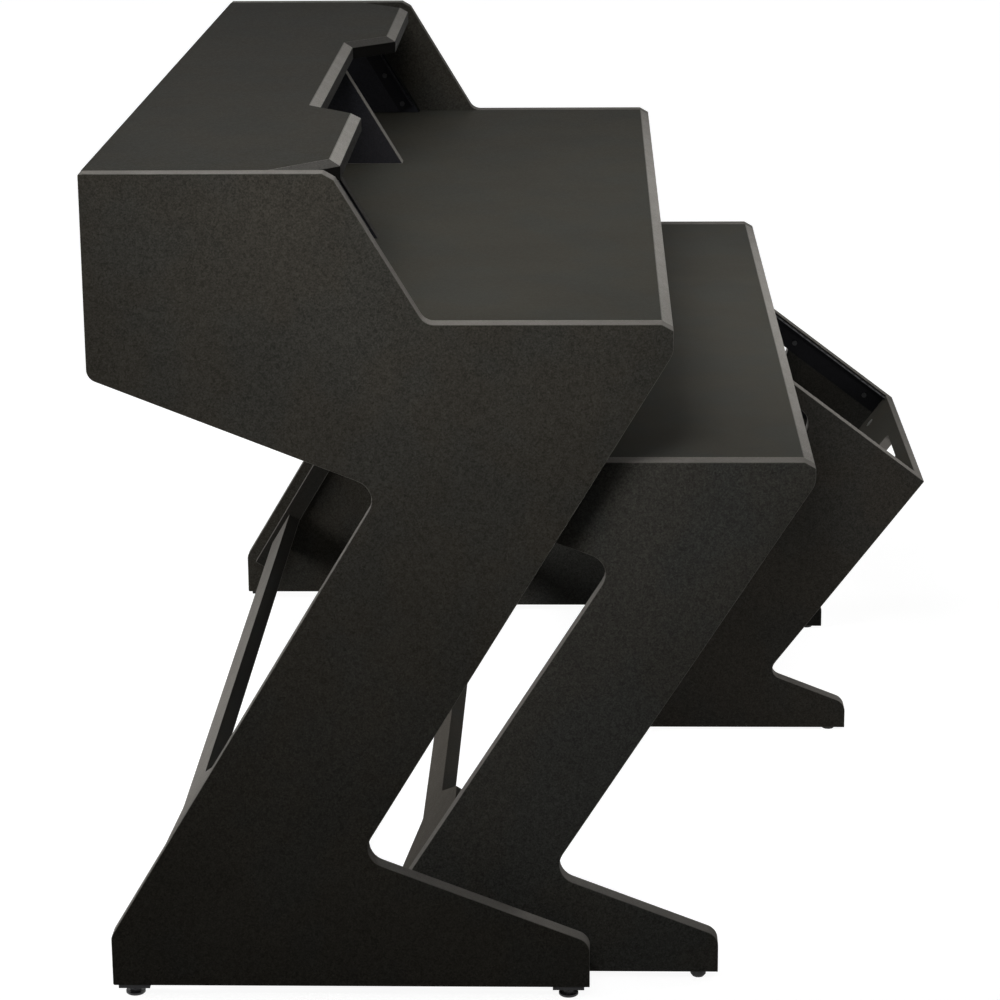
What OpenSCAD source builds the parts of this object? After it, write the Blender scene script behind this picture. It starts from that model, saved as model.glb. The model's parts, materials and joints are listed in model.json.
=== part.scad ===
// Z keyboard stand: a nested set of three free-standing music desks with Z-shaped sides.
// The wide main desk carries a slanted rack hutch, the keyboard desk slides out from
// under it, and the narrow sloping rack desk slides out from under the keyboard desk.
// Units: mm. X runs along the width, the player's side faces -Y, Z is up, the floor is z = 0.

/* [Boards] */
// thickness of every desk, side and shelf board
board = 25; // [22:1:28]
// thickness of the rails that tie the legs together at the back
rail_board = 21; // [18:1:24]
// depth of the bevel along every front edge, front to back
bevel_run = 14; // [8:1:18]
// height of the same bevel
bevel_drop = 8; // [5:1:12]

/* [Main desk] */
// overall width of the set
main_width = 1690; // [1640:10:1800]
// front to back depth of the main desk at desk level
main_depth = 708; // [680:2:760]
// height of the main desktop above the floor
main_height = 877; // [840:1:930]
// height of the underside of the side boards above the floor
main_foot_gap = 15; // [12:1:25]
// rise of the hutch above the desktop
hutch_rise = 183.5; // [175:0.5:240]
// angle of the legs and of the hutch front, measured from upright
main_lean = 31; // [28:0.5:33]
// length of the foot along the floor
main_foot_length = 608; // [590:2:640]
// depth of the top shelf
shelf_depth = 305; // [290:1:330]
// depth of the notch in the front of the top shelf
notch_depth = 61; // [40:1:80]
// how far each end of the notch splays from back to front
notch_splay = 70; // [30:2:90]
// length that each cut-off front corner takes from the front edge of the top shelf
corner_cut = 72; // [40:2:100]

/* [Rack bays] */
// clear width between the wooden walls of each rack bay
bay_width = 485; // [484:1:496]
// rack units in each slanted bay of the hutch
hutch_units = 3; // [2:1:3]
// rack units along the slope of the rack desk
desk_units = 8; // [6:1:8]

/* [Keyboard desk] */
// distance from each end of the set to the end of the keyboard desk
key_inset = 60; // [55:1:90]
// height of the keyboard desktop above the floor
key_height = 690; // [670:1:710]
// length of its foot along the floor
key_foot_length = 444; // [420:2:470]
// front to back reach of its side boards at desk level
key_reach = 557; // [540:1:580]
// angle of its legs from upright
key_lean = 32.5; // [30:0.5:34]
// how far the keyboard desk stands out in front of the main desk
key_out = 178; // [100:2:300]

/* [Rack desk] */
// angle of its sloping top from level, and of its front from upright
rack_lean = 37.3; // [35:0.1:39]
// height of its front top corner above the floor
rack_nose_height = 405; // [380:1:420]
// length of its foot along the floor
rack_foot_length = 385; // [370:1:400]
// how far its front stands out in front of the keyboard desk
rack_out = 236; // [200:2:400]
// distance from the right end of the set to its right side board
rack_from_right = 159; // [120:1:900]

/* [Hidden] */
arc_steps = 8;
round_steps = 48;
hole_steps = 24;
joint_gap = 0.05;
past = 1;

// Shared shapes of the side boards
foot_nose = 61.5;
heel_height = 66.3;
foot_slope = 21.4;
under_slope = 21.6;
foot_round = 20;
inner_round = 26;
nose_round = 27;
heel_round = 16;
back_round = 8;
edge_round = 2;
desk_nose = 36;
rear_edge = 66;
hutch_front_drop = 410;
hutch_round = 20;

// Main desk
main_base = main_foot_gap;
desk_under = main_height - board;
shelf_top = main_height + hutch_rise;
shelf_under = shelf_top - board;
hutch_slope = tan(main_lean);
hutch_corner = hutch_front_drop - hutch_rise * hutch_slope;
main_inside = main_width - 2 * board;
cheek_right = main_width - 2 * board;
partition_left = 2 * board + bay_width;
partition_right = cheek_right - bay_width - board;
notch_corner = shelf_depth - notch_depth;
notch_half = main_width / 2 - partition_left;
notch_angle = atan2(notch_depth, notch_splay);
partition_inset = 20;
bay_front = notch_corner - partition_inset + (shelf_under - main_height) * hutch_slope;
under_rail_height = 90;
under_rail_depth = 190;
rail_recess = 25;
rear_rail_start = 48;
rear_rail_width = 62;
end_plate_reach = 335;
end_plate_flare = 45;
end_plate_run = 78;
cleat_width = 16;
cleat_recess = 17;
cleat_depth = rail_recess + rail_board - cleat_recess;
main_cleat_top = 46;

// Levelling feet of the main desk
plate_length = 40;
plate_thick = 4;
plate_screw_step = 30;
plate_inset = 7;
leveller_rear = plate_inset + plate_length / 2;
leveller_front = main_foot_length - plate_inset - plate_length / 2;
stud_radius = 5;
stud_length = 45;
stud_chamfer = 1;
disc_radius = 12.5;
disc_height = 3.5;
hex_height = 4.5;
disc_round = 1.2;
bore_radius = stud_radius + 1;
bore_spare = 14;
hex_radius = 7.5;

// Keyboard desk
glide_radius = 10;
key_glide = 10;
key_width = main_width - 2 * key_inset;
rack_glide = 4;
glide_from_heel = 20;
glide_from_toe = 25;
key_back_inset = 57;
key_foot_nose = 49.7;
key_heel = 60;
key_rear_edge = 37;
key_under_slope = 20.3;
key_desk_nose = 28;
key_rail_start = 53;
key_rail_width = 50;
key_plate_reach = 255;
key_under_rail = 70;
key_rail_depth = 114;
key_cleat_top = 137;
key_inside = key_width - 2 * board;
key_under = key_height - board;

// Rack desk
rack_nose_out = 113.6;
rack_foot_nose = 40.4;
rack_foot_slope = 21.7;
rack_heel = 66;
rack_slope_length = 401.5;
rack_rear_edge = 82;
rack_under_slope = 20;
rack_inner_round = 16;
front_board = 16;
front_board_drop = 150;
hold_width = 140;
hold_height = 42;
hold_from_top = 23.5;
hold_from_right = 190;
hold_round = 10;
rear_board_drop = 90;
rear_board_start = rack_slope_length - board - edge_round;
rack_rail_width = 60;
rack_rail_start = 30;
rack_width = bay_width + 2 * board;

// Nineteen inch rack hardware
unit_height = 44.45;
first_hole = 6.35;
hole_step_long = 15.875;
rack_hole_spacing = 465.1;
hutch_flange = 25;
rack_flange = 34;
steel = 2;
rack_hole_radius = 3.3;
hole_inset = (bay_width - rack_hole_spacing) / 2;
hole_margin = 4.25;
flange_width = hole_inset + rack_hole_radius + hole_margin;
strip_recess = 3;
wood_screw_head = 4;
wood_screw_head_height = 1.5;
wood_screw_radius = 2;
wood_screw_recess = 1.6;
wood_screw_length = 14;
strip_screw_parts = [0.08, 0.5, 0.92];
seat_gap = 0.3;
hutch_strip_start = (strip_recess + hutch_flange) * hutch_slope + seat_gap / cos(main_lean);
rack_strip_gap = 1.5;

// Knock-down fittings
cam_radius = 7.5;
cam_depth = 12.5;
cam_from_end = 34;
cam_slot = 1.6;
cam_slot_length = 9;
cam_slot_depth = 1.2;
bolt_radius = 3.5;
bolt_into_side = 11;
bolt_reach = bolt_into_side + cam_from_end - cam_radius;
main_cam_count = 4;
main_cam_rear = 120;
cam_from_front = 58;
main_cam_step = (main_depth - cam_from_front - main_cam_rear) / (main_cam_count - 1);
main_cam_rows = [for (i = [0:main_cam_count - 1]) main_cam_rear + i * main_cam_step];
main_bolt_height = desk_under + board / 2;
key_cam_count = 3;
key_cam_from_rear = 60;
key_cam_rear = key_back_inset + key_cam_from_rear;
key_cam_step = (key_reach - cam_from_front - key_cam_rear) / (key_cam_count - 1);
key_cam_rows = [for (i = [0:key_cam_count - 1]) key_cam_rear + i * key_cam_step];
key_bolt_height = key_under + board / 2;
front_bolt_drops = [49, 112];
rear_bolt_drops = [31, 66];

// Places of the three desks in the set
key_nose = main_depth + key_out;
rack_nose = key_nose + rack_out;
set_depth = rack_nose;
set_left = -main_width / 2;
set_back = set_depth / 2;
rack_from_left = main_width - rack_from_right - rack_width;
key_heel_depth = key_nose - key_reach;
rack_heel_depth = rack_nose - rack_nose_out - rack_foot_length;

// Corner arithmetic: each corner is [depth, height, radius]
function unit_vector(v) = v / norm(v);
function place_of(corner) = [corner[0], corner[1]];
function swing(from, to) = to - from - 360 * round((to - from) / 360);
function arc_points(before, here, after, radius) =
    radius == 0 ? [here] :
    let (a = unit_vector(before - here),
         b = unit_vector(after - here),
         half = acos(a * b) / 2,
         start = here + a * radius / tan(half),
         finish = here + b * radius / tan(half),
         centre = here + unit_vector(a + b) * radius / sin(half),
         first = atan2(start[1] - centre[1], start[0] - centre[0]),
         last = atan2(finish[1] - centre[1], finish[0] - centre[0]),
         turn = swing(first, last))
    [for (i = [0:arc_steps])
        centre + radius * [cos(first + turn * i / arc_steps), sin(first + turn * i / arc_steps)]];
function outline(corners) =
    let (n = len(corners))
    [for (i = [0:n - 1])
        each arc_points(place_of(corners[(i + n - 1) % n]), place_of(corners[i]),
                        place_of(corners[(i + 1) % n]), corners[i][2])];

// Height where a leg edge meets the sloping line of the foot or of the top
function meet_height(line_height, line_slope, line_end, edge_end, edge_height, lean) =
    (line_height + line_slope * (line_end - edge_end + tan(lean) * edge_height))
    / (1 + line_slope * tan(lean));

// Stands a drawing of [depth, height] up as a board across the width
module board_across(left, thick) {
    translate([left, 0, 0])
        rotate([90, 0, 90])
            linear_extrude(height = thick)
                children();
}

// Puts a desk, drawn with its back left floor corner at the origin, into the set
module in_set(left, back) {
    translate([set_left + left, set_back - back, 0])
        mirror([0, 1, 0])
            children();
}

module in_main() {
    in_set(0, 0) children();
}

module in_key() {
    in_set(key_inset, key_heel_depth) children();
}

module in_rack() {
    in_set(rack_from_left, rack_heel_depth) children();
}

// A frame of reference leaning with a leg's rear edge: x across, y up the leg, z to the front
module along_leg(depth, height, lean) {
    translate([0, depth, height])
        rotate([90 - lean, 0, 0])
            mirror([0, 0, 1])
                children();
}

// Height of the inner corner where a leg's rear edge meets the slope under a top
function inner_height(rear_depth, rear_z, heel_z, slope, lean) =
    (rear_z + tan(slope) * (rear_depth + tan(lean) * heel_z)) / (1 + tan(slope) * tan(lean));
function main_heel() = main_base + heel_height;
function main_inner() =
    inner_height(0, main_height - rear_edge, main_heel(), under_slope, main_lean);
function key_heel_top() = key_glide + key_heel;
function key_inner() = inner_height(key_back_inset, key_height - key_rear_edge, key_heel_top(),
                                    key_under_slope, key_lean);

// Side boards
module main_side_outline() {
    foot_tan = tan(foot_slope);
    nose_height = main_height - desk_nose;
    front_z = meet_height(main_base + foot_nose, foot_tan, main_foot_length,
                          main_depth, nose_height, main_lean);
    front_d = main_depth - (nose_height - front_z) * tan(main_lean);
    inner_d = (main_inner() - main_heel()) * tan(main_lean);
    polygon(outline([
        [0, main_base, edge_round],
        [main_foot_length, main_base, 0],
        [main_foot_length, main_base + foot_nose, foot_round],
        [front_d, front_z, inner_round],
        [main_depth, nose_height, nose_round],
        [main_depth, main_height - bevel_drop, 0],
        [main_depth - bevel_run, main_height, 0],
        [hutch_front_drop, main_height, hutch_round],
        [hutch_corner + bevel_drop * hutch_slope, shelf_top - bevel_drop, 0],
        [hutch_corner - bevel_run + bevel_drop * hutch_slope, shelf_top, 0],
        [0, shelf_top, edge_round],
        [0, main_height - rear_edge, heel_round],
        [inner_d, main_inner(), inner_round],
        [0, main_heel(), heel_round]]));
}

module key_side_outline() {
    foot_tan = tan(foot_slope);
    nose_height = key_height - key_desk_nose;
    front_z = meet_height(key_glide + key_foot_nose, foot_tan, key_foot_length,
                          key_reach, nose_height, key_lean);
    front_d = key_reach - (nose_height - front_z) * tan(key_lean);
    inner_d = (key_inner() - key_heel_top()) * tan(key_lean);
    polygon(outline([
        [0, key_glide, edge_round],
        [key_foot_length, key_glide, 0],
        [key_foot_length, key_glide + key_foot_nose, foot_round],
        [front_d, front_z, inner_round],
        [key_reach, nose_height, nose_round],
        [key_reach, key_height - bevel_drop, 0],
        [key_reach - bevel_run, key_height, 0],
        [key_back_inset, key_height, edge_round],
        [key_back_inset, key_height - key_rear_edge, back_round],
        [inner_d, key_inner(), inner_round],
        [0, key_heel_top(), heel_round]]));
}

function rack_nose_depth() = rack_foot_length + rack_nose_out;
function rack_top_depth() = rack_nose_depth() - rack_slope_length * cos(rack_lean);
function rack_top_height() = rack_nose_height + rack_slope_length * sin(rack_lean);

module rack_side_outline() {
    foot_tan = tan(rack_foot_slope);
    front_z = meet_height(rack_glide + rack_foot_nose, foot_tan, rack_foot_length,
                          rack_nose_depth(), rack_nose_height, rack_lean);
    front_d = rack_nose_depth() - (rack_nose_height - front_z) * tan(rack_lean);
    heel_z = rack_glide + rack_heel;
    rear_z = rack_top_height() - rack_rear_edge;
    inner_z = inner_height(rack_top_depth(), rear_z, heel_z, rack_under_slope, rack_lean);
    inner_d = (inner_z - heel_z) * tan(rack_lean);
    polygon(outline([
        [0, rack_glide, edge_round],
        [rack_foot_length, rack_glide, 0],
        [rack_foot_length, rack_glide + rack_foot_nose, foot_round],
        [front_d, front_z, rack_inner_round],
        [rack_nose_depth(), rack_nose_height, 0],
        [rack_top_depth(), rack_top_height(), edge_round],
        [rack_top_depth(), rear_z, back_round],
        [inner_d, inner_z, inner_round],
        [0, heel_z, heel_round]]));
}

// Drawing of a desktop from the side, with its bevelled front edge
module top_outline(back, front, top) {
    polygon([[back, top - board], [front, top - board], [front, top - bevel_drop],
             [front - bevel_run, top], [back, top]]);
}

// Cam fittings: one blind seat and one bolt line per joint
module cam_seat(radius, depth) {
    cylinder(h = depth, r = radius, $fn = round_steps);
}

module cam_disc() {
    difference() {
        cam_seat(cam_radius - joint_gap, cam_depth - joint_gap);
        for (turn = [0, 90])
            rotate([0, 0, turn])
                translate([-cam_slot_length / 2, -cam_slot / 2, -past])
                    cube([cam_slot_length, cam_slot, cam_slot_depth + past]);
    }
}

module side_bolt(reach, radius) {
    rotate([0, 90, 0])
        cylinder(h = reach, r = radius, $fn = round_steps);
}

// Main desk, desktop and its fittings
module main_cam_places() {
    for (row = main_cam_rows) {
        translate([board + cam_from_end, row, desk_under]) children();
        translate([main_width - board - cam_from_end, row, desk_under]) children();
    }
}

module main_bolt_places() {
    for (row = main_cam_rows) {
        translate([board - bolt_into_side, row, main_bolt_height]) children();
        translate([main_width - board + bolt_into_side - bolt_reach, row, main_bolt_height])
            children();
    }
}

module leveller_places() {
    for (left = [board / 2, main_width - board / 2])
        for (depth = [leveller_rear, leveller_front])
            translate([left, depth, 0]) children();
}

module main_side_board(left) {
    difference() {
        board_across(left, board) main_side_outline();
        main_bolt_places() side_bolt(bolt_reach, bolt_radius + joint_gap);
        leveller_places()
            translate([0, 0, main_base - past])
                cylinder(h = stud_length - hex_height + bore_spare, r = bore_radius,
                         $fn = round_steps);
        plate_screw_places()
            wood_pilot();
        hutch_pilots();
    }
}

module main_side_left() {
    color([0.2, 0.19, 0.18]) in_main() main_side_board(0);
}

module main_side_right() {
    color([0.2, 0.19, 0.18]) in_main() main_side_board(main_width - board);
}

module main_desktop() {
    color([0.24, 0.235, 0.22])
        in_main()
            difference() {
                board_across(board, main_inside) top_outline(0, main_depth, main_height);
                main_cam_places() cam_seat(cam_radius, cam_depth);
                main_bolt_places() side_bolt(bolt_reach, bolt_radius + joint_gap);
            }
}

// All that lies in front of a bevelled edge, for an edge through the origin along +X
module beyond_edge(reach) {
    far = 3 * bevel_run;
    rise = far * bevel_drop / bevel_run;
    translate([-reach, 0, 0])
        rotate([90, 0, 90])
            linear_extrude(height = 2 * reach)
                polygon([[0, -board - past], [0, -bevel_drop], [-bevel_run - far, rise],
                         [reach, rise], [reach, -board - past]]);
}

// What lies beyond one splayed end of the shelf's notch
module beyond_notch_end(side) {
    translate([main_width / 2 + side * notch_half, notch_corner, shelf_top])
        mirror([side > 0 ? 0 : 1, 0, 0])
            rotate([0, 0, notch_angle])
                beyond_edge(main_width);
}

module notch_cut() {
    intersection() {
        translate([main_width / 2, notch_corner, shelf_top])
            beyond_edge(main_width);
        beyond_notch_end(-1);
        beyond_notch_end(1);
    }
}

// What lies beyond the cut-off front corner at one end of the shelf, as slanted as the notch
module beyond_corner(side) {
    translate([main_width / 2 + side * (main_inside / 2 - corner_cut), shelf_depth, shelf_top])
        mirror([side > 0 ? 0 : 1, 0, 0])
            rotate([0, 0, -notch_angle])
                beyond_edge(main_width);
}

module hutch_shelf() {
    color([0.24, 0.235, 0.22])
        in_main()
            difference() {
                board_across(board, main_inside) top_outline(0, shelf_depth, shelf_top);
                notch_cut();
                for (side = [-1, 1])
                    beyond_corner(side);
            }
}

// Upright wall of a rack bay, cut to the lean of the rack
module bay_wall(left) {
    color([0.2, 0.19, 0.18])
        in_main()
            difference() {
                board_across(left, board)
                    polygon([[0, main_height], [bay_front, main_height],
                             [bay_front - (shelf_under - main_height) * hutch_slope, shelf_under],
                             [0, shelf_under]]);
                hutch_pilots();
            }
}

module hutch_cheek_left() {
    bay_wall(board);
}

module hutch_cheek_right() {
    bay_wall(cheek_right);
}

module hutch_partition_left() {
    bay_wall(partition_left);
}

module hutch_partition_right() {
    bay_wall(partition_right);
}

module main_under_rail() {
    color([0.17, 0.165, 0.16])
        in_main()
            translate([board, under_rail_depth, desk_under - under_rail_height])
                cube([main_inside, rail_board, under_rail_height]);
}

// A tie rail with one broad end, drawn [across, up the leg]
module tie_rail(left, right, start, width, reach) {
    polygon(outline([
        [left, start - end_plate_flare, 0],
        [left + reach - end_plate_run, start - end_plate_flare, inner_round],
        [left + reach, start, inner_round],
        [right, start, 0],
        [right, start + width, 0],
        [left + reach, start + width, inner_round],
        [left + reach - end_plate_run, start + width + end_plate_flare, inner_round],
        [left, start + width + end_plate_flare, 0]]));
}

module main_rear_rail() {
    color([0.3, 0.29, 0.28])
        in_main()
            along_leg(0, main_heel(), main_lean)
                translate([0, 0, rail_recess])
                    linear_extrude(height = rail_board)
                        tie_rail(board + cleat_width, main_width - board - cleat_width,
                                 rear_rail_start, rear_rail_width, end_plate_reach);
}

function main_cleat_length() =
    (main_inner() - main_heel()) / cos(main_lean) - rear_rail_start + end_plate_flare
    - main_cleat_top;
function key_cleat_length() =
    (key_inner() - key_heel_top()) / cos(key_lean) - key_rail_start + end_plate_flare
    - key_cleat_top;

// A batten along the inside of a leg, from the tie rail up towards the top
module cleat(left, start, length) {
    translate([left, start, cleat_recess])
        cube([cleat_width, length, cleat_depth]);
}

module main_cleat_left() {
    color([0.2, 0.19, 0.18])
        in_main()
            along_leg(0, main_heel(), main_lean)
                cleat(board, rear_rail_start - end_plate_flare, main_cleat_length());
}

module main_cleat_right() {
    color([0.2, 0.19, 0.18])
        in_main()
            along_leg(0, main_heel(), main_lean)
                cleat(main_width - board - cleat_width, rear_rail_start - end_plate_flare,
                      main_cleat_length());
}

// Rack strip: steel angle with three holes per rack unit, running up +Y, face at z = 0
function strip_holes(units) =
    [for (u = [0:units - 1]) for (k = [0:2]) u * unit_height + first_hole + k * hole_step_long];

module rack_strip(units, flange) {
    length = units * unit_height;
    difference() {
        union() {
            translate([0, 0, -steel])
                cube([flange_width, length, steel]);
            translate([0, 0, -flange])
                cube([steel, length, flange]);
        }
        for (height = strip_holes(units))
            translate([hole_inset, height, -steel - past])
                cylinder(h = steel + 2 * past, r = rack_hole_radius, $fn = hole_steps);
        strip_screw_places(units, flange)
            translate([0, 0, -past])
                wood_pilot();
    }
}

// One screw near each end of the strip and one between, on axes pointing into the wood
module strip_screw_places(units, flange) {
    length = units * unit_height;
    for (part = strip_screw_parts)
        translate([steel, length * part, -flange / 2 - steel])
            rotate([0, -90, 0])
                children();
}

module wood_pilot() {
    cylinder(h = wood_screw_length + past, r = wood_screw_radius + joint_gap, $fn = hole_steps);
}

module wood_screw() {
    translate([0, 0, -wood_screw_head_height]) {
        difference() {
            cylinder(h = wood_screw_head_height, r = wood_screw_head, $fn = round_steps);
            translate([0, 0, -past])
                cylinder(h = past + wood_screw_head_height / 2, r = wood_screw_recess, $fn = 6);
        }
        cylinder(h = wood_screw_length, r = wood_screw_radius, $fn = hole_steps);
    }
}

// Frame of a slanted rack opening: y runs up the slope, z points out towards the player
module hutch_slope_frame(left, right_hand) {
    translate([left, bay_front, main_height])
        rotate([90 + main_lean, 0, 0])
            translate([0, hutch_strip_start, 0])
                mirror([0, 0, 1])
                    translate([0, 0, -strip_recess])
                        mirror([right_hand ? 1 : 0, 0, 0])
                            children();
}

hutch_strip_walls = [[2 * board, false], [partition_left, true],
                     [partition_right + board, false], [cheek_right, true]];

module hutch_strip(index) {
    color([0.1, 0.1, 0.11])
        in_main()
            hutch_slope_frame(hutch_strip_walls[index][0], hutch_strip_walls[index][1])
                rack_strip(hutch_units, hutch_flange);
}

module hutch_strip_a() {
    hutch_strip(0);
}

module hutch_strip_b() {
    hutch_strip(1);
}

module hutch_strip_c() {
    hutch_strip(2);
}

module hutch_strip_d() {
    hutch_strip(3);
}

module hutch_pilots() {
    for (wall = hutch_strip_walls)
        hutch_slope_frame(wall[0], wall[1])
            strip_screw_places(hutch_units, hutch_flange)
                wood_pilot();
}

module hutch_strip_screws() {
    color([0.5, 0.5, 0.5])
        in_main()
            for (wall = hutch_strip_walls)
                hutch_slope_frame(wall[0], wall[1])
                    strip_screw_places(hutch_units, hutch_flange)
                        wood_screw();
}

// Levelling feet
module plate_screw_places() {
    for (left = [board / 2, main_width - board / 2])
        for (depth = [leveller_rear, leveller_front])
            for (side = [-1, 1])
                translate([left, depth + side * plate_screw_step / 2, main_base - plate_thick])
                    children();
}

module main_foot_plates() {
    color([0.12, 0.12, 0.12])
        in_main()
            difference() {
                leveller_places()
                    translate([-board / 2, -plate_length / 2, main_base - plate_thick])
                        cube([board, plate_length, plate_thick]);
                leveller_places()
                    translate([0, 0, main_base - plate_thick - past])
                        cylinder(h = plate_thick + 2 * past, r = stud_radius + joint_gap,
                                 $fn = round_steps);
                plate_screw_places()
                    translate([0, 0, -past])
                        wood_pilot();
            }
}

module main_plate_screws() {
    color([0.45, 0.45, 0.45])
        in_main()
            plate_screw_places()
                wood_screw();
}

module leveller(left, depth) {
    color([0.1, 0.1, 0.1])
        in_main()
            translate([left, depth, 0]) {
                rotate_extrude($fn = round_steps)
                    polygon([[0, 0], [disc_radius - disc_round, 0], [disc_radius, disc_round],
                             [disc_radius, disc_height], [stud_radius, disc_height],
                             [stud_radius, disc_height + stud_length - stud_chamfer],
                             [stud_radius - stud_chamfer, disc_height + stud_length],
                             [0, disc_height + stud_length]]);
                cylinder(h = disc_height + hex_height, r = hex_radius, $fn = 6);
            }
}

module leveller_front_left() {
    leveller(board / 2, leveller_front);
}

module leveller_front_right() {
    leveller(main_width - board / 2, leveller_front);
}

module leveller_rear_left() {
    leveller(board / 2, leveller_rear);
}

module leveller_rear_right() {
    leveller(main_width - board / 2, leveller_rear);
}

module main_cams() {
    color([0.55, 0.55, 0.53]) in_main() main_cam_places() cam_disc();
}

module main_bolts() {
    color([0.6, 0.6, 0.58]) in_main() main_bolt_places() side_bolt(bolt_reach, bolt_radius);
}

// Keyboard desk
module key_cam_places() {
    for (row = key_cam_rows) {
        translate([board + cam_from_end, row, key_under]) children();
        translate([key_width - board - cam_from_end, row, key_under]) children();
    }
}

module key_bolt_places() {
    for (row = key_cam_rows) {
        translate([board - bolt_into_side, row, key_bolt_height]) children();
        translate([key_width - board + bolt_into_side - bolt_reach, row, key_bolt_height])
            children();
    }
}

module key_side_board(left) {
    color([0.2, 0.19, 0.18])
        in_key()
            difference() {
                board_across(left, board) key_side_outline();
                key_bolt_places() side_bolt(bolt_reach, bolt_radius + joint_gap);
            }
}

module key_side_left() {
    key_side_board(0);
}

module key_side_right() {
    key_side_board(key_width - board);
}

module key_desktop() {
    color([0.24, 0.235, 0.22])
        in_key()
            difference() {
                board_across(board, key_inside) top_outline(key_back_inset, key_reach, key_height);
                key_cam_places() cam_seat(cam_radius, cam_depth);
                key_bolt_places() side_bolt(bolt_reach, bolt_radius + joint_gap);
            }
}

module key_under_rail() {
    color([0.17, 0.165, 0.16])
        in_key()
            translate([board, key_rail_depth, key_under - key_under_rail])
                cube([key_inside, rail_board, key_under_rail]);
}

module key_rear_rail() {
    color([0.3, 0.29, 0.28])
        in_key()
            along_leg(0, key_heel_top(), key_lean)
                translate([0, 0, rail_recess])
                    linear_extrude(height = rail_board)
                        tie_rail(board + cleat_width, key_width - board - cleat_width,
                                 key_rail_start, key_rail_width, key_plate_reach);
}

module key_cleat_left() {
    color([0.2, 0.19, 0.18])
        in_key()
            along_leg(0, key_heel_top(), key_lean)
                cleat(board, key_rail_start - end_plate_flare, key_cleat_length());
}

module key_cleat_right() {
    color([0.2, 0.19, 0.18])
        in_key()
            along_leg(0, key_heel_top(), key_lean)
                cleat(key_width - board - cleat_width, key_rail_start - end_plate_flare,
                      key_cleat_length());
}

// Round glide, seated under a side board
module glide(height) {
    rotate_extrude($fn = round_steps)
        polygon([[0, 0], [glide_radius - height / 4, 0], [glide_radius, height / 3],
                 [glide_radius, height], [0, height]]);
}

module key_glides() {
    color([0.1, 0.1, 0.1])
        in_key()
            for (left = [board / 2, key_width - board / 2])
                for (depth = [glide_from_heel, key_foot_length - glide_from_toe])
                    translate([left, depth, 0])
                        glide(key_glide);
}

module key_cams() {
    color([0.55, 0.55, 0.53]) in_key() key_cam_places() cam_disc();
}

module key_bolts() {
    color([0.6, 0.6, 0.58]) in_key() key_bolt_places() side_bolt(bolt_reach, bolt_radius);
}

// Rack desk. The slope frame has y up the slope and z out of the top
module rack_slope_frame(left) {
    translate([left, rack_nose_depth(), rack_nose_height])
        rotate([90 + (90 - rack_lean), 0, 0])
            mirror([0, 0, 1])
                children();
}

// Bolts that tie the cross boards to the side boards
module rack_bolt_places() {
    for (left = [board - bolt_into_side, rack_width - board + bolt_into_side - bolt_reach])
        rack_slope_frame(left) {
            for (drop = front_bolt_drops)
                translate([0, front_board / 2, -drop]) children();
            for (drop = rear_bolt_drops)
                translate([0, rear_board_start + board / 2, -drop]) children();
        }
}

// Cams in the faces of the cross boards that look into the rack well
module rack_cam_places() {
    for (left = [board + cam_from_end, rack_width - board - cam_from_end])
        rack_slope_frame(left) {
            for (drop = front_bolt_drops)
                translate([0, front_board, -drop])
                    rotate([90, 0, 0])
                        children();
            for (drop = rear_bolt_drops)
                translate([0, rear_board_start, -drop])
                    rotate([-90, 0, 0])
                        children();
        }
}

module rack_side_board(left) {
    color([0.2, 0.19, 0.18])
        in_rack()
            difference() {
                board_across(left, board) rack_side_outline();
                rack_bolt_places() side_bolt(bolt_reach, bolt_radius + joint_gap);
                rack_strip_walls() strip_screw_places(desk_units, rack_flange) wood_pilot();
            }
}

module rack_side_left() {
    rack_side_board(0);
}

module rack_side_right() {
    rack_side_board(rack_width - board);
}

module rack_front_board() {
    color([0.26, 0.25, 0.235])
        in_rack()
            difference() {
                rack_slope_frame(board)
                    translate([0, 0, -front_board_drop])
                        cube([bay_width, front_board, front_board_drop]);
                rack_slope_frame(rack_width - board - hold_from_right - hold_width)
                    translate([0, front_board + past, -hold_from_top - hold_height])
                        rotate([90, 0, 0])
                            linear_extrude(height = front_board + 2 * past)
                                polygon(outline([
                                    [0, 0, hold_round],
                                    [hold_width, 0, hold_round],
                                    [hold_width, hold_height, hold_round],
                                    [0, hold_height, hold_round]]));
                rack_cam_places() cam_seat(cam_radius, cam_depth);
                rack_bolt_places() side_bolt(bolt_reach, bolt_radius + joint_gap);
            }
}

module rack_rear_board() {
    color([0.2, 0.19, 0.18])
        in_rack()
            difference() {
                rack_slope_frame(board)
                    translate([0, rear_board_start, -rear_board_drop])
                        cube([bay_width, board, rear_board_drop]);
                rack_cam_places() cam_seat(cam_radius, cam_depth);
                rack_bolt_places() side_bolt(bolt_reach, bolt_radius + joint_gap);
            }
}

module rack_bottom_rail() {
    color([0.2, 0.19, 0.18])
        in_rack()
            along_leg(0, rack_glide + rack_heel, rack_lean)
                translate([board, rack_rail_start, rail_recess])
                    cube([bay_width, rack_rail_width, rail_board]);
}

module rack_desk_strip(left, right_hand) {
    rack_slope_frame(left)
        translate([0, front_board + rack_strip_gap, -strip_recess])
            mirror([right_hand ? 1 : 0, 0, 0])
                children();
}

module rack_strip_walls() {
    rack_desk_strip(board, false) children();
    rack_desk_strip(rack_width - board, true) children();
}

module rack_strip_left() {
    color([0.1, 0.1, 0.11])
        in_rack()
            rack_desk_strip(board, false) rack_strip(desk_units, rack_flange);
}

module rack_strip_right() {
    color([0.1, 0.1, 0.11])
        in_rack()
            rack_desk_strip(rack_width - board, true) rack_strip(desk_units, rack_flange);
}

module rack_strip_screws() {
    color([0.5, 0.5, 0.5])
        in_rack()
            rack_strip_walls() strip_screw_places(desk_units, rack_flange) wood_screw();
}

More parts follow.
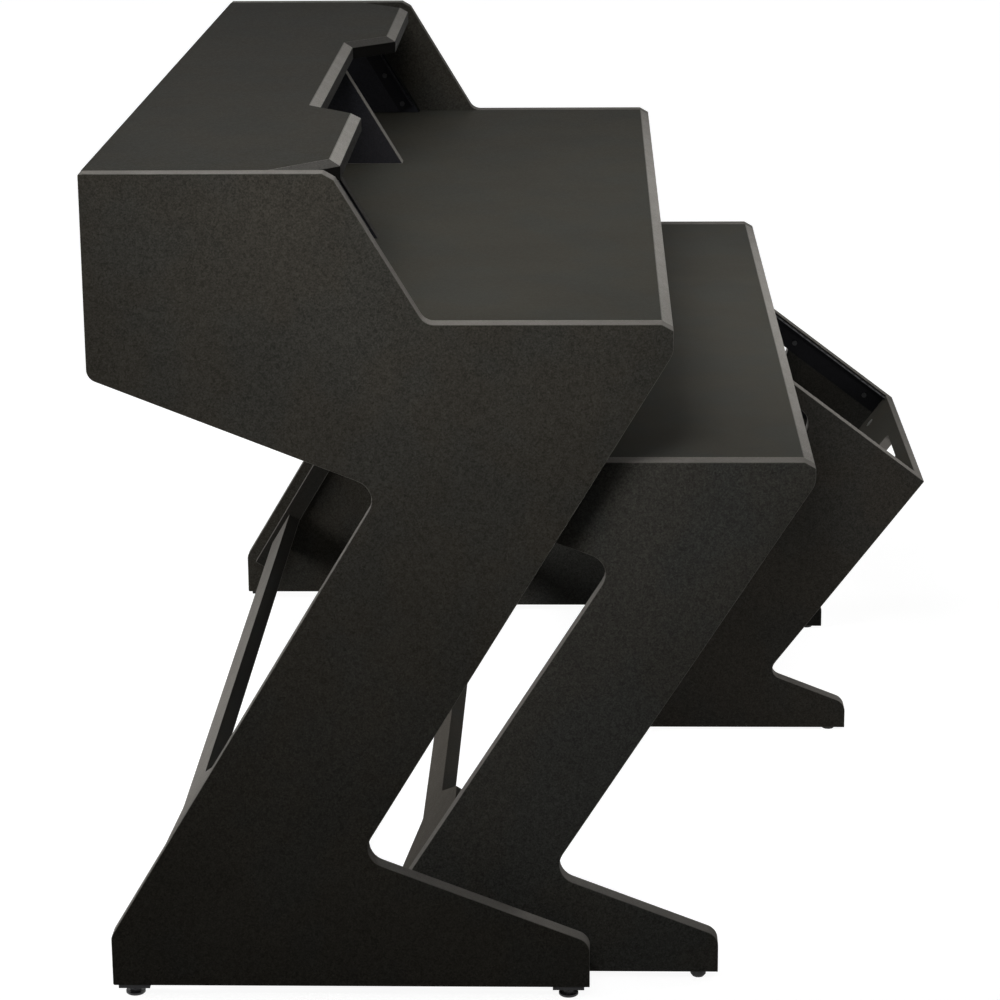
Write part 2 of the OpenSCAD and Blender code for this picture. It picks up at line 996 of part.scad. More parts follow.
module rack_glides() {
    color([0.1, 0.1, 0.1])
        in_rack()
            for (left = [board / 2, rack_width - board / 2])
                for (depth = [glide_from_heel, rack_foot_length - glide_from_toe])
                    translate([left, depth, 0])
                        glide(rack_glide);
}

module rack_cams() {
    color([0.55, 0.55, 0.53]) in_rack() rack_cam_places() cam_disc();
}

module rack_bolts() {
    color([0.6, 0.6, 0.58]) in_rack() rack_bolt_places() side_bolt(bolt_reach, bolt_radius);
}

main_side_left();
main_side_right();
main_desktop();
hutch_shelf();
hutch_cheek_left();
hutch_cheek_right();
hutch_partition_left();
hutch_partition_right();
main_under_rail();
main_rear_rail();
main_cleat_left();
main_cleat_right();
hutch_strip_a();
hutch_strip_b();
hutch_strip_c();
hutch_strip_d();
hutch_strip_screws();
main_foot_plates();
main_plate_screws();
leveller_front_left();
leveller_front_right();
leveller_rear_left();
leveller_rear_right();
main_cams();
main_bolts();
key_side_left();
key_side_right();
key_desktop();
key_under_rail();
key_rear_rail();
key_cleat_left();
key_cleat_right();
key_glides();
key_cams();
key_bolts();
rack_side_left();
rack_side_right();
rack_front_board();
rack_rear_board();
rack_bottom_rail();
rack_strip_left();
rack_strip_right();
rack_strip_screws();
rack_glides();
rack_cams();
rack_bolts();
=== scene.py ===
"""Looks of the nested keyboard stand: laminated boards with their edge bands, rack strips, fittings and feet.

Lengths are in metres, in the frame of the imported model: X along the width, -Y towards the player, Z up.
"""
import json
import math
from collections import namedtuple
from functools import reduce

import bmesh
import bpy
from mathutils import Matrix, Vector

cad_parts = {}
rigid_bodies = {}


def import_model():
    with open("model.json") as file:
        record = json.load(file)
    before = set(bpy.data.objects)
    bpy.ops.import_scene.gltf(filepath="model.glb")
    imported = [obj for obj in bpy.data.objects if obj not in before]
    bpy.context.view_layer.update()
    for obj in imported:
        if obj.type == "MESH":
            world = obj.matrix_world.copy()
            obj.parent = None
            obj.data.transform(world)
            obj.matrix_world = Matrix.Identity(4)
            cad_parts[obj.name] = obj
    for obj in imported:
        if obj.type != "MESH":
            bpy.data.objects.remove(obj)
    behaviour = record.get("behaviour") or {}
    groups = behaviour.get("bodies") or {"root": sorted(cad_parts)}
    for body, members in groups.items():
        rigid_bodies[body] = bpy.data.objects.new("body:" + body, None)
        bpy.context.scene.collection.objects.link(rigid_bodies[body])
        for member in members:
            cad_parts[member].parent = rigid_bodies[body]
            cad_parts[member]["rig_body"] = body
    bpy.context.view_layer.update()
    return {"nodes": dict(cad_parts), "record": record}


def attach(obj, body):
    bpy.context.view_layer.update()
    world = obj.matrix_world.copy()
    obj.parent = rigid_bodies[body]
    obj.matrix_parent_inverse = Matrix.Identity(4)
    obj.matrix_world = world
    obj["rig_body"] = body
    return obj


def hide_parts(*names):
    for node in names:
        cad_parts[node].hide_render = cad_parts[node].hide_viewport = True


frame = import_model()
MM = 0.001
ALONG_X = (1.0, 0.0, 0.0)
ALONG_Y = (0.0, 1.0, 0.0)
ALONG_Z = (0.0, 0.0, 1.0)
TO_NEAR_SIDE = (-1.0, 0.0, 0.0)
TO_PLAYER = (0.0, -1.0, 0.0)

# Camera, solved from the straight edges of the photograph, with its angles in radians
PHOTO_SIDE_PX = 1000
FOCAL_PX = 3146.98
SENSOR_MM = 36
CAMERA_PLACE = Vector((-4.52353, -0.04476, 1.70674))
CAMERA_YAW = 0.02913
CAMERA_DOWN = 0.27734
CAMERA_ROLL = -0.00761
CAMERA_REACH = 200


def make_camera():
    ahead = Vector((math.cos(CAMERA_DOWN) * math.cos(CAMERA_YAW),
                    math.cos(CAMERA_DOWN) * math.sin(CAMERA_YAW),
                    -math.sin(CAMERA_DOWN)))
    right = ahead.cross(Vector(ALONG_Z)).normalized()
    above = right.cross(ahead)
    tilted_right = math.cos(CAMERA_ROLL) * right + math.sin(CAMERA_ROLL) * above
    tilted_above = math.cos(CAMERA_ROLL) * above - math.sin(CAMERA_ROLL) * right
    data = bpy.data.cameras.new("camera")
    data.sensor_width = SENSOR_MM
    data.sensor_fit = "HORIZONTAL"
    data.lens = FOCAL_PX / PHOTO_SIDE_PX * SENSOR_MM
    data.clip_end = CAMERA_REACH
    camera = bpy.data.objects.new("camera", data)
    turn = Matrix((tilted_right, tilted_above, -ahead)).transposed().to_4x4()
    camera.matrix_world = Matrix.Translation(CAMERA_PLACE) @ turn
    bpy.context.scene.collection.objects.link(camera)
    bpy.context.scene.camera = camera


def srgb(red, green, blue):
    """A colour as it is read off a screen, from 0 to 255, as the linear values that shaders take."""
    def linear(value):
        value = value / 255
        return value / 12.92 if value <= 0.04045 else ((value + 0.055) / 1.055) ** 2.4
    return (linear(red), linear(green), linear(blue), 1.0)


def scaled(colour, parts):
    """A colour with its red, green and blue each scaled by its own part."""
    return tuple(value * part for value, part in zip(colour, parts)) + (1.0,)


# Places of the colour sockets in a Mix node, whose names it also gives to other sockets
MIX_FIRST = 6
MIX_SECOND = 7
MIX_RESULT = 2


class Shader:
    """A material under construction, with short names for the nodes that it needs."""

    def __init__(self, name):
        self.material = bpy.data.materials.new(name)
        self.material.use_nodes = True
        self.tree = self.material.node_tree
        self.surface = self.tree.nodes["Principled BSDF"]
        self.place = self.node("ShaderNodeTexCoord").outputs["Object"]

    def node(self, kind, **settings):
        node = self.tree.nodes.new(kind)
        for name, value in settings.items():
            setattr(node, name, value)
        return node

    def put(self, socket, value):
        """Links the value to the socket if it comes from a node, and otherwise sets it."""
        if isinstance(value, bpy.types.NodeSocket):
            self.tree.links.new(value, socket)
        else:
            socket.default_value = value

    def set(self, **values):
        """Sets inputs of the surface, by their names with underscores for spaces."""
        for name, value in values.items():
            self.put(self.surface.inputs[name.replace("_", " ")], value)

    def math(self, kind, *values):
        node = self.node("ShaderNodeMath", operation=kind)
        for socket, value in zip(node.inputs, values):
            self.put(socket, value)
        return node.outputs[0]

    def product(self, *values):
        return reduce(lambda first, second: self.math("MULTIPLY", first, second), values)

    def noise(self, size, detail=2.0, rough=0.5, distortion=0.0, squeeze=(1, 1, 1)):
        """Noise whose features measure about size metres, divided along each axis by its squeeze."""
        squeezed = self.node("ShaderNodeMapping")
        self.put(squeezed.inputs["Vector"], self.place)
        squeezed.inputs["Scale"].default_value = squeeze
        node = self.node("ShaderNodeTexNoise")
        self.put(node.inputs["Vector"], squeezed.outputs[0])
        node.inputs["Scale"].default_value = 1 / size
        node.inputs["Detail"].default_value = detail
        node.inputs["Roughness"].default_value = rough
        node.inputs["Distortion"].default_value = distortion
        return node.outputs["Fac"]

    def cells(self, size):
        """Distance to the middle of soft cells that are about size metres wide."""
        node = self.node("ShaderNodeTexVoronoi", feature="SMOOTH_F1")
        self.put(node.inputs["Vector"], self.place)
        node.inputs["Scale"].default_value = 1 / size
        return node.outputs["Distance"]

    def spread(self, value, limits, results=(0.0, 1.0)):
        """The value drawn smoothly from the range between limits to the range between results."""
        node = self.node("ShaderNodeMapRange", interpolation_type="SMOOTHSTEP")
        for name, number in zip(("Value", "From Min", "From Max", "To Min", "To Max"),
                                (value, *limits, *results)):
            self.put(node.inputs[name], number)
        return node.outputs["Result"]

    def mix(self, share, first, second):
        node = self.node("ShaderNodeMix", data_type="RGBA")
        self.put(node.inputs["Factor"], share)
        self.put(node.inputs[MIX_FIRST], first)
        self.put(node.inputs[MIX_SECOND], second)
        return node.outputs[MIX_RESULT]

    def tint(self, colour, strength):
        """The colour made lighter or darker by a value around 1."""
        node = self.node("ShaderNodeVectorMath", operation="SCALE")
        self.put(node.inputs[0], colour if isinstance(colour, bpy.types.NodeSocket) else colour[:3])
        self.put(node.inputs["Scale"], strength)
        return node.outputs[0]

    def dot(self, vector, axis):
        node = self.node("ShaderNodeVectorMath", operation="DOT_PRODUCT")
        self.put(node.inputs[0], vector)
        node.inputs[1].default_value = axis
        return node.outputs["Value"]

    def along(self, axis):
        """Distance from the origin along the axis."""
        return self.dot(self.place, axis)

    def towards(self, axis):
        """1 where the surface faces along the axis, 0 where it is square to that, -1 where it faces back."""
        return self.dot(self.node("ShaderNodeNewGeometry").outputs["True Normal"], axis)

    def facing(self, axis):
        """1 where the surface is square to the axis, 0 where it runs along it."""
        return self.math("ABSOLUTE", self.towards(axis))

    def bump(self, height, depth, strength):
        node = self.node("ShaderNodeBump")
        self.put(node.inputs["Height"], height)
        node.inputs["Distance"].default_value = depth
        node.inputs["Strength"].default_value = strength
        self.put(self.surface.inputs["Normal"], node.outputs["Normal"])


# Limits between which nearly all values of a noise lie
MOST_OF_NOISE = (0.3, 0.7)

# Faces of the boards, with colours read beside the photograph
# Painted shade: the shelf's face is darker than the main desktop's, though both are the same laminate.
SHELF_FACE_PAINTED_SHADE = srgb(49, 48, 44)
DESK_FACE = srgb(58, 57, 52)
# Painted light: the keyboard desk's face is lighter than the main desktop's, though both are the same
# laminate.
KEY_DESK_FACE_PAINTED_LIGHT = srgb(66, 65, 60)
SIDE_FACE = srgb(61, 59, 54)
# Painted light: the keyboard desk's sides are lighter than the main sides, though both are the same laminate.
KEY_SIDE_FACE_PAINTED_LIGHT = srgb(70, 69, 65)
# Painted shade: the rack desk's sides are darker than the main sides, the far one darkest, as the shade under
# the keyboard desk.
RACK_NEAR_FACE_PAINTED_SHADE = srgb(54, 52, 48)
RACK_FAR_FACE_PAINTED_SHADE = srgb(40, 39, 36)
# Painted shade: the rails are darker than the sides, as the shade under the desks.
RAIL_FACE_PAINTED_SHADE = srgb(44, 43, 40)
# Painted light: the keyboard desk's rear rail is lighter than the other rails, though all are the same
# laminate.
KEY_RAIL_FACE_PAINTED_LIGHT = srgb(76, 74, 69)
# Partly the walls' own bluish black and partly painted shade: the partitions and cheeks in the hutch's bays
# are darker than the sides.
BAY_FACE_AND_PAINTED_SHADE = srgb(38, 38, 41)
FACE_LIMITS = (0.93, 0.95)
WARMER = (1.02, 1.0, 0.98)
COOLER = (0.98, 1.0, 1.02)
TONE_DRIFT = {"size": 90 * MM, "detail": 2}
TONE_LIMITS = (0.42, 0.62)

# Grain of the faces
FINE_GRAIN = {"size": 1.9 * MM, "detail": 3, "rough": 0.62, "distortion": 0.8}
BROAD_GRAIN = {"size": 4.6 * MM, "detail": 2, "rough": 0.5, "distortion": 1.2}
GRAIN_LIMITS = (0.32, 0.68)
GRAIN_DEPTH = 0.16 * MM
GRAIN_STRENGTH = 0.6
FULL_DEPTH_FROM = 0.4
CLOUD = {"size": 140 * MM, "detail": 3, "rough": 0.55}
CLOUD_LIGHT = (0.95, 1.05)
PEBBLE = 2.2 * MM
PEBBLE_LIMITS = (0.0, 0.7)
PEBBLE_SHARE = 1 / 6
LAMINATE_ROUGH = (0.62, 0.8)
LAMINATE_SHINE = 0.012

# Bands round the edges of the boards
EDGE_BAND = srgb(117, 114, 109)
# Painted light: the bevels of the tops are lighter than the band on the sides, as they face up towards the
# player.
BEVEL_BAND_PAINTED_LIGHT = srgb(142, 139, 134)
# Painted light: the right partition's front edge is lighter than the band on the sides.
PARTITION_BAND_PAINTED_LIGHT = srgb(128, 125, 120)
# Painted shade: the left partition's front edge is dark, as the shade in the hutch.
NEAR_PARTITION_BAND_PAINTED_SHADE = srgb(56, 54, 52)
# Painted shade: the cheeks' front edges are nearly black, as the shade under the shelf.
BAY_BAND_PAINTED_SHADE = srgb(15, 15, 14)
# Painted shade: the keyboard desk's rear rail has a darker band than the other edges.
KEY_RAIL_BAND_PAINTED_SHADE = srgb(86, 82, 76)
SEAM = 0.45 * MM
SEAM_LIGHT = 0.72
STREAKS = {"size": 3.2 * MM, "detail": 4, "rough": 0.75}
STREAK_SQUEEZE = 8.0
STREAK_AXIS_FROM = 0.5
STREAK_LIMITS = (0.36, 0.64)
STREAK_LIGHT = (0.8, 1.2)
WEAR = {"size": 38 * MM, "detail": 5, "rough": 0.68}
WEAR_LIMITS = (0.35, 0.75)
WEAR_LIGHT = (0.95, 1.08)

# The board whose band has painted shade: nearly black at its upright front edge, and dark where its bevel
# turns to the near side
SHADE_PAINTED_BOARD = "hutch_shelf"
FRONT_LIMITS = (0.6, 0.7)
FRONT_PAINTED_SHADE = 0.1
TURNED_LIMITS = (0.2, 0.3)
TURNED_PAINTED_SHADE = 0.26


def face_of(shader, colour, grain):
    """Colour of a laminated face, and its texture, which goes from 0 to 1."""
    fine = shader.noise(**FINE_GRAIN)
    broad = shader.noise(**BROAD_GRAIN)
    mean = shader.math("MULTIPLY_ADD", fine, 0.5, shader.math("MULTIPLY", broad, 0.5))
    texture = shader.spread(mean, GRAIN_LIMITS)
    pebble_light = (1 + grain * PEBBLE_SHARE, 1 - grain * PEBBLE_SHARE)
    light = shader.product(shader.math("MULTIPLY_ADD", texture, grain, 1 - grain / 2),
                           shader.spread(shader.noise(**CLOUD), MOST_OF_NOISE, CLOUD_LIGHT),
                           shader.spread(shader.cells(PEBBLE), PEBBLE_LIMITS, pebble_light))
    drift = shader.spread(shader.noise(**TONE_DRIFT), TONE_LIMITS)
    tone = shader.mix(drift, scaled(colour, WARMER), scaled(colour, COOLER))
    return shader.tint(tone, light), texture


def band_of(shader, colour, axis, low, high, shade_painted):
    """Colour of the band round a board's edges: streaked along the edges, with a seam beside each face."""
    across = shader.along(axis)
    from_low = shader.math("SUBTRACT", across, low)
    from_high = shader.math("SUBTRACT", high, across)
    to_face = shader.math("MINIMUM", from_low, from_high)
    squeeze = tuple(STREAK_SQUEEZE if abs(part) > STREAK_AXIS_FROM else 1.0 for part in axis)
    streaks = shader.noise(**STREAKS, squeeze=squeeze)
    light = shader.product(shader.spread(to_face, (SEAM, 2 * SEAM), (SEAM_LIGHT, 1.0)),
                           shader.spread(streaks, STREAK_LIMITS, STREAK_LIGHT),
                           shader.spread(shader.noise(**WEAR), WEAR_LIMITS, WEAR_LIGHT))
    # Painted shade: the band is darkened at the upright front edge and where the bevel turns to the near
    # side.
    if shade_painted:
        front = shader.spread(shader.towards(TO_PLAYER), FRONT_LIMITS, (1.0, FRONT_PAINTED_SHADE))
        turned = shader.spread(shader.towards(TO_NEAR_SIDE), TURNED_LIMITS, (1.0, TURNED_PAINTED_SHADE))
        light = shader.product(light, front, turned)
    return shader.tint(colour, light)


def laminate(name, board, low, high, shade_painted):
    """Laminate on the two faces square to the board's axis, and a lighter band round its edges.

    low and high are the board's limits along that axis. The last argument paints shade: the upright front
    edge under the bevel nearly black, and the parts of the bevel that turn to the near side dark.
    """
    shader = Shader(name)
    face, texture = face_of(shader, board.face, board.grain)
    band = band_of(shader, board.band, board.axis, low, high, shade_painted)
    is_face = shader.spread(shader.facing(board.axis), FACE_LIMITS)
    shader.set(Base_Color=shader.mix(is_face, band, face),
               Roughness=shader.spread(texture, MOST_OF_NOISE, LAMINATE_ROUGH),
               Specular_IOR_Level=LAMINATE_SHINE)
    shader.bump(texture, GRAIN_DEPTH, GRAIN_STRENGTH * min(1.0, board.grain / FULL_DEPTH_FROM))
    return shader.material


# How strongly the faces are grained
SIDE_GRAIN = 0.7
WALL_GRAIN = 0.4
RAIL_GRAIN = 0.35
TOP_GRAIN = 0.22

# How far the legs lean from upright towards the player, as in the part's source
MAIN_LEAN = math.radians(31)
KEY_LEAN = math.radians(32.5)
RACK_LEAN = math.radians(37.3)


def square_to_leg(lean):
    """Direction square to the front and rear edges of a leg."""
    return (0.0, math.cos(lean), math.sin(lean))


def up_the_leg(lean):
    return (0.0, -math.sin(lean), math.cos(lean))


# Look of a board: the direction square to its faces, the colours of its faces and band, and its grain
Board = namedtuple("Board", "axis face band grain")


def left_and_right(name, board):
    return {name + "_left": board, name + "_right": board}


BOARDS = {
    **left_and_right("main_side", Board(ALONG_X, SIDE_FACE, EDGE_BAND, SIDE_GRAIN)),
    **left_and_right("key_side", Board(ALONG_X, KEY_SIDE_FACE_PAINTED_LIGHT, EDGE_BAND, SIDE_GRAIN)),
    "rack_side_left": Board(ALONG_X, RACK_NEAR_FACE_PAINTED_SHADE, EDGE_BAND, SIDE_GRAIN),
    "rack_side_right": Board(ALONG_X, RACK_FAR_FACE_PAINTED_SHADE, EDGE_BAND, SIDE_GRAIN),
    **left_and_right("hutch_cheek", Board(ALONG_X, BAY_FACE_AND_PAINTED_SHADE, BAY_BAND_PAINTED_SHADE, WALL_GRAIN)),
    "hutch_partition_left": Board(ALONG_X, BAY_FACE_AND_PAINTED_SHADE, NEAR_PARTITION_BAND_PAINTED_SHADE, WALL_GRAIN),
    "hutch_partition_right": Board(ALONG_X, BAY_FACE_AND_PAINTED_SHADE, PARTITION_BAND_PAINTED_LIGHT, WALL_GRAIN),
    "main_desktop": Board(ALONG_Z, DESK_FACE, BEVEL_BAND_PAINTED_LIGHT, TOP_GRAIN),
    "hutch_shelf": Board(ALONG_Z, SHELF_FACE_PAINTED_SHADE, BEVEL_BAND_PAINTED_LIGHT, TOP_GRAIN),
    "key_desktop": Board(ALONG_Z, KEY_DESK_FACE_PAINTED_LIGHT, BEVEL_BAND_PAINTED_LIGHT, TOP_GRAIN),
    "main_under_rail": Board(ALONG_Y, RAIL_FACE_PAINTED_SHADE, EDGE_BAND, RAIL_GRAIN),
    "key_under_rail": Board(ALONG_Y, RAIL_FACE_PAINTED_SHADE, EDGE_BAND, RAIL_GRAIN),
    "main_rear_rail": Board(up_the_leg(MAIN_LEAN), RAIL_FACE_PAINTED_SHADE, EDGE_BAND, RAIL_GRAIN),
    "key_rear_rail": Board(up_the_leg(KEY_LEAN), KEY_RAIL_FACE_PAINTED_LIGHT, KEY_RAIL_BAND_PAINTED_SHADE, RAIL_GRAIN),
    "rack_bottom_rail": Board(square_to_leg(RACK_LEAN), RAIL_FACE_PAINTED_SHADE, EDGE_BAND, RAIL_GRAIN),
    **left_and_right("main_cleat", Board(ALONG_X, RAIL_FACE_PAINTED_SHADE, EDGE_BAND, RAIL_GRAIN)),
    **left_and_right("key_cleat", Board(ALONG_X, RAIL_FACE_PAINTED_SHADE, EDGE_BAND, RAIL_GRAIN)),
    "rack_front_board": Board(square_to_leg(RACK_LEAN), SIDE_FACE, EDGE_BAND, WALL_GRAIN),
    "rack_rear_board": Board(square_to_leg(RACK_LEAN), SIDE_FACE, EDGE_BAND, WALL_GRAIN),
}
SLOT_OF = {part["node"]: part["material_slot"] for part in frame["record"]["subparts"]}

# Eased edges of the boards
EASE = 0.7 * MM
EASE_STEPS = 2
ROUND_PROFILE = 0.5
SHARP_ANGLE = math.radians(28)
SMALLEST_RUN = 60 * MM
WELD = 0.005 * MM
FLAT_ANGLE = math.radians(0.5)
MOST_CORNERS = 4


def long_sharp_edges(mesh):
    """Sharp edges that join up into runs longer than a hole's rim."""
    waiting = {e for e in mesh.edges if len(e.link_faces) == 2 and e.calc_face_angle(0) > SHARP_ANGLE}
    chosen = []
    while waiting:
        run = [waiting.pop()]
        ends = list(run)
        while ends:
            for vertex in ends.pop().verts:
                joined = [e for e in vertex.link_edges if e in waiting]
                waiting.difference_update(joined)
                run += joined
                ends += joined
        corners = [v.co for e in run for v in e.verts]
        reach = max(max(c[i] for c in corners) - min(c[i] for c in corners) for i in range(3))
        if reach > SMALLEST_RUN:
            chosen += run
    return chosen


def eased_mesh(node):
    """The mesh of a board with its long sharp edges eased, as a band is after trimming."""
    mesh = bmesh.new()
    mesh.from_mesh(frame["nodes"][node].data)
    bmesh.ops.remove_doubles(mesh, verts=mesh.verts, dist=WELD)
    bmesh.ops.dissolve_limit(mesh, angle_limit=FLAT_ANGLE, verts=mesh.verts, edges=mesh.edges)
    bmesh.ops.bevel(mesh, geom=long_sharp_edges(mesh), offset=EASE, offset_type="OFFSET",
                    segments=EASE_STEPS, profile=ROUND_PROFILE, affect="EDGES", clamp_overlap=True)
    bmesh.ops.triangulate(mesh, faces=[f for f in mesh.faces if len(f.verts) > MOST_CORNERS])
    for face in mesh.faces:
        face.smooth = True
    for edge in mesh.edges:
        edge.smooth = len(edge.link_faces) == 2 and edge.calc_face_angle(0) < SHARP_ANGLE
    data = bpy.data.meshes.new("eased_" + node)
    mesh.to_mesh(data)
    mesh.free()
    return data


def limits_along(node, axis):
    """Lowest and highest place of a node's corners along the axis."""
    direction = Vector(axis)
    heights = [direction.dot(v.co) for v in frame["nodes"][node].data.vertices]
    return min(heights), max(heights)


def make_board(node, look):
    low, high = limits_along(node, look.axis)
    data = eased_mesh(node)
    data.materials.append(laminate("laminate_" + node, look, low, high, node == SHADE_PAINTED_BOARD))
    board = bpy.data.objects.new("eased_" + node, data)
    bpy.context.scene.collection.objects.link(board)
    even = board.modifiers.new("even_normals", "WEIGHTED_NORMAL")
    even.keep_sharp = True
    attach(board, frame["nodes"][node]["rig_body"])
    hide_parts(node)


# Powder-coated steel
STRIP_BLACK = srgb(12, 12, 14)
STRIP_ROUGH = 0.5
STRIP_SHINE = 0.08
PLATE_BLACK = srgb(24, 24, 25)
PLATE_ROUGH = 0.5
SCREW_BLACK = srgb(40, 40, 41)
SCREW_ROUGH = 0.35
COAT_SHINE = 0.35
COAT_METAL = 0.25
PEEL = {"size": 0.9 * MM, "detail": 2}
PEEL_DEPTH = 0.05 * MM
PEEL_STRENGTH = 0.5
RUBS = {"size": 9 * MM, "detail": 5, "rough": 0.7}
RUB_LIMITS = (0.45, 0.75)
RUB_LIGHT = (1.0, 1.7)
RUB_ROUGH = (0.08, -0.06)


def around(middle, steps):
    """The middle value shifted by each of the steps."""
    return tuple(middle + step for step in steps)


def coated_steel(name, colour, rough, shine=COAT_SHINE):
    """Powder-coated steel: fine orange peel, with the coat a little paler where it is rubbed."""
    shader = Shader(name)
    rubs = shader.noise(**RUBS)
    shader.set(Base_Color=shader.tint(colour, shader.spread(rubs, RUB_LIMITS, RUB_LIGHT)),
               Metallic=COAT_METAL,
               Roughness=shader.spread(rubs, MOST_OF_NOISE, around(rough, RUB_ROUGH)),
               Specular_IOR_Level=shine)
    shader.bump(shader.noise(**PEEL), PEEL_DEPTH, PEEL_STRENGTH)
    return shader.material


# Bare metal
ZINC = srgb(186, 186, 182)
ZINC_ROUGH = 0.42
BOLT_STEEL = srgb(200, 200, 196)
BOLT_ROUGH = 0.3
SCRATCHES = {"size": 1.2 * MM, "detail": 4, "rough": 0.7, "squeeze": (1, 6, 1)}
SCRATCH_ROUGH = (-0.08, 0.12)
SCRATCH_DEPTH = 0.02 * MM
SCRATCH_STRENGTH = 0.4
PATCHES = {"size": 5 * MM, "detail": 3}
PATCH_LIGHT = (0.85, 1.05)


def bare_metal(name, colour, rough):
    """Zinc or plated steel: bright, with fine scratches and duller patches."""
    shader = Shader(name)
    scratches = shader.noise(**SCRATCHES)
    patches = shader.spread(shader.noise(**PATCHES), MOST_OF_NOISE, PATCH_LIGHT)
    shader.set(Base_Color=shader.tint(colour, patches),
               Metallic=1.0,
               Roughness=shader.spread(scratches, MOST_OF_NOISE, around(rough, SCRATCH_ROUGH)))
    shader.bump(scratches, SCRATCH_DEPTH, SCRATCH_STRENGTH)
    return shader.material


# Moulded plastic and rubber
FOOT_BLACK = srgb(22, 22, 26)
FOOT_ROUGH = 0.38
GLIDE_BLACK = srgb(20, 20, 20)
GLIDE_ROUGH = 0.7
MOULDED_SHINE = 0.5
SPARK = {"size": 0.7 * MM, "detail": 2}
SPARK_DEPTH = 0.04 * MM
SPARK_STRENGTH = 0.5
DUST = {"size": 6 * MM, "detail": 4, "rough": 0.65}
DUST_LIMITS = (0.4, 0.75)
DUST_LIGHT = (0.95, 1.5)
DUST_ROUGH = (-0.05, 0.1)


def moulded(name, colour, rough):
    """Moulded plastic or rubber, with a fine spark texture and patches of dust."""
    shader = Shader(name)
    dust = shader.noise(**DUST)
    shader.set(Base_Color=shader.tint(colour, shader.spread(dust, DUST_LIMITS, DUST_LIGHT)),
               Roughness=shader.spread(dust, MOST_OF_NOISE, around(rough, DUST_ROUGH)),
               Specular_IOR_Level=MOULDED_SHINE)
    shader.bump(shader.noise(**SPARK), SPARK_DEPTH, SPARK_STRENGTH)
    return shader.material


def finish_fittings():
    """Gives every node that isn't a board the material of its slot."""
    material_of = {
        "strip_steel": coated_steel("rack_strip_black", STRIP_BLACK, STRIP_ROUGH, STRIP_SHINE),
        "plate_steel": coated_steel("plate_black", PLATE_BLACK, PLATE_ROUGH),
        "screw_steel": coated_steel("screw_black", SCREW_BLACK, SCREW_ROUGH),
        "cam_zinc": bare_metal("cam_zinc", ZINC, ZINC_ROUGH),
        "bolt_steel": bare_metal("bolt_steel", BOLT_STEEL, BOLT_ROUGH),
        "foot_plastic": moulded("foot_black", FOOT_BLACK, FOOT_ROUGH),
        "glide_rubber": moulded("glide_black", GLIDE_BLACK, GLIDE_ROUGH),
    }
    for node, slot in SLOT_OF.items():
        if slot in material_of:
            data = frame["nodes"][node].data
            data.materials.clear()
            data.materials.append(material_of[slot])


# Floor, whose own glow makes it white and is a little weaker round the object, where the lamps add to it
FLOOR_WIDTH = 60
FLOOR_GREY = 0.3
NEAR_GLOW = 0.93
FAR_GLOW = 1.0
NEAR_TO = 1.1
FAR_FROM = 1.9


def seen_directly(tree):
    """1 for rays from the camera, a mirror or glass, and 0 for rays that light the object."""
    path = tree.nodes.new("ShaderNodeLightPath")
    total = path.outputs["Is Camera Ray"]
    for name in ("Is Glossy Ray", "Is Transmission Ray"):
        add = tree.nodes.new("ShaderNodeMath")
        add.operation = "MAXIMUM"
        tree.links.new(total, add.inputs[0])
        tree.links.new(path.outputs[name], add.inputs[1])
        total = add.outputs[0]
    return total


def floor_material():
    material = bpy.data.materials.new("pale_floor")
    material.use_nodes = True
    tree = material.node_tree
    tree.nodes.clear()
    matt = tree.nodes.new("ShaderNodeBsdfDiffuse")
    matt.inputs["Color"].default_value = (FLOOR_GREY, FLOOR_GREY, FLOOR_GREY, 1)
    place = tree.nodes.new("ShaderNodeTexCoord").outputs["Object"]
    away = tree.nodes.new("ShaderNodeVectorMath")
    away.operation = "LENGTH"
    tree.links.new(place, away.inputs[0])
    level = tree.nodes.new("ShaderNodeMapRange")
    for socket, value in (("From Min", NEAR_TO), ("From Max", FAR_FROM),
                          ("To Min", NEAR_GLOW), ("To Max", FAR_GLOW)):
        level.inputs[socket].default_value = value
    tree.links.new(away.outputs["Value"], level.inputs["Value"])
    strength = tree.nodes.new("ShaderNodeMath")
    strength.operation = "MULTIPLY"
    tree.links.new(seen_directly(tree), strength.inputs[0])
    tree.links.new(level.outputs["Result"], strength.inputs[1])
    glow = tree.nodes.new("ShaderNodeEmission")
    tree.links.new(strength.outputs[0], glow.inputs["Strength"])
    both = tree.nodes.new("ShaderNodeAddShader")
    tree.links.new(matt.outputs[0], both.inputs[0])
    tree.links.new(glow.outputs[0], both.inputs[1])
    output = tree.nodes.new("ShaderNodeOutputMaterial")
    tree.links.new(both.outputs[0], output.inputs["Surface"])
    return material


def make_floor():
    bpy.ops.mesh.primitive_plane_add(size=FLOOR_WIDTH)
    floor = bpy.context.object
    floor.name = "floor"
    floor.data.materials.append(floor_material())


# Strength of the world's own light on the object, where 1 is white
AMBIENT = 0.02
WHITE = 1.0


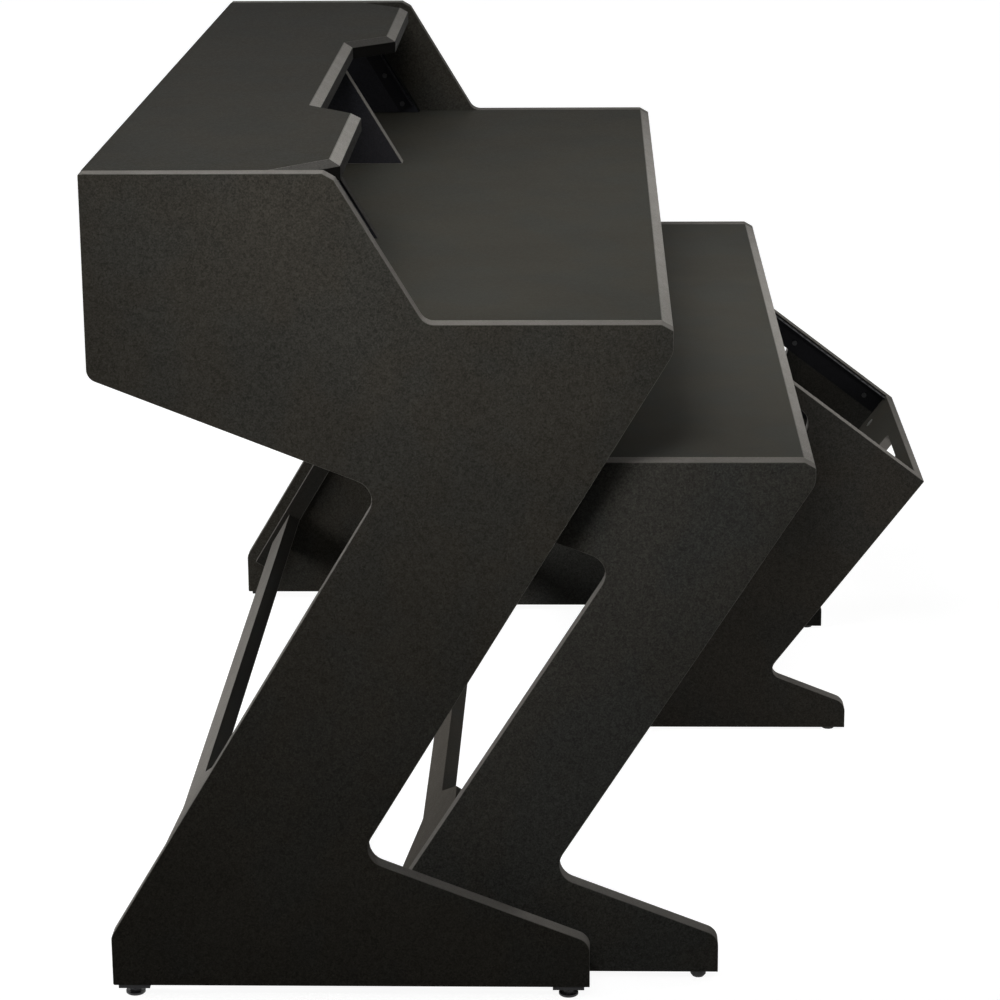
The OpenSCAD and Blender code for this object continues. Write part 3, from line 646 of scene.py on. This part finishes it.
def make_world():
    world = bpy.data.worlds.new("studio")
    bpy.context.scene.world = world
    world.use_nodes = True
    tree = world.node_tree
    background = tree.nodes["Background"]
    background.inputs["Color"].default_value = (1, 1, 1, 1)
    strength = tree.nodes.new("ShaderNodeMapRange")
    strength.inputs["To Min"].default_value = AMBIENT
    strength.inputs["To Max"].default_value = WHITE
    tree.links.new(seen_directly(tree), strength.inputs["Value"])
    tree.links.new(strength.outputs["Result"], background.inputs["Strength"])


# A softbox: where it stands, what it is aimed at, its two sides, its watts and its cone in degrees
Lamp = namedtuple("Lamp", "place aim sides power cone")

LAMPS = {
    "top_softbox": Lamp((-0.5, 0.9, 3.2), (0.1, 0.1, 0.6), (1.6, 2.0), 19.5, 180),
    "side_softbox": Lamp((-2.3, 0.35, 2.3), (-0.8, 0.2, 1.15), (0.8, 0.8), 3.3, 45),
    "front_side_softbox": Lamp((-2.2, -0.5, 2.0), (-0.8, -0.1, 0.8), (0.8, 0.8), 0.75, 90),
    "desk_softbox": Lamp((0.4, -1.3, 1.8), (0.1, -0.3, 0.69), (1.2, 0.4), 2.2, 60),
    "far_side_softbox": Lamp((2.6, 0.2, 0.45), (0.8, 0.0, 0.5), (0.7, 0.4), 3.2, 70),
    "rear_softbox": Lamp((-0.3, 2.3, 1.3), (0, 0.4, 0.3), (1.0, 0.6), 8, 100),
    "rear_fill": Lamp((-0.6, 1.4, 0.5), (0.8, 0.1, 0.3), (0.5, 0.3), 1.0, 90),
    "low_fill": Lamp((-0.5, -1.3, 0.2), (0.6, 0.0, 0.1), (0.5, 0.3), 0.7, 70),
}


def make_lamp(name, lamp):
    data = bpy.data.lights.new(name, "AREA")
    data.shape = "RECTANGLE"
    data.size, data.size_y = lamp.sides
    data.energy = lamp.power
    data.spread = math.radians(lamp.cone)
    softbox = bpy.data.objects.new(name, data)
    softbox.location = lamp.place
    softbox.rotation_euler = (Vector(lamp.aim) - Vector(lamp.place)).to_track_quat("-Z", "Y").to_euler()
    softbox.visible_camera = False
    bpy.context.scene.collection.objects.link(softbox)


make_camera()
for name, look in BOARDS.items():
    make_board(name, look)
finish_fittings()
make_floor()
make_world()
for name, lamp in LAMPS.items():
    make_lamp(name, lamp)
bpy.context.scene.view_settings.view_transform = "Standard"
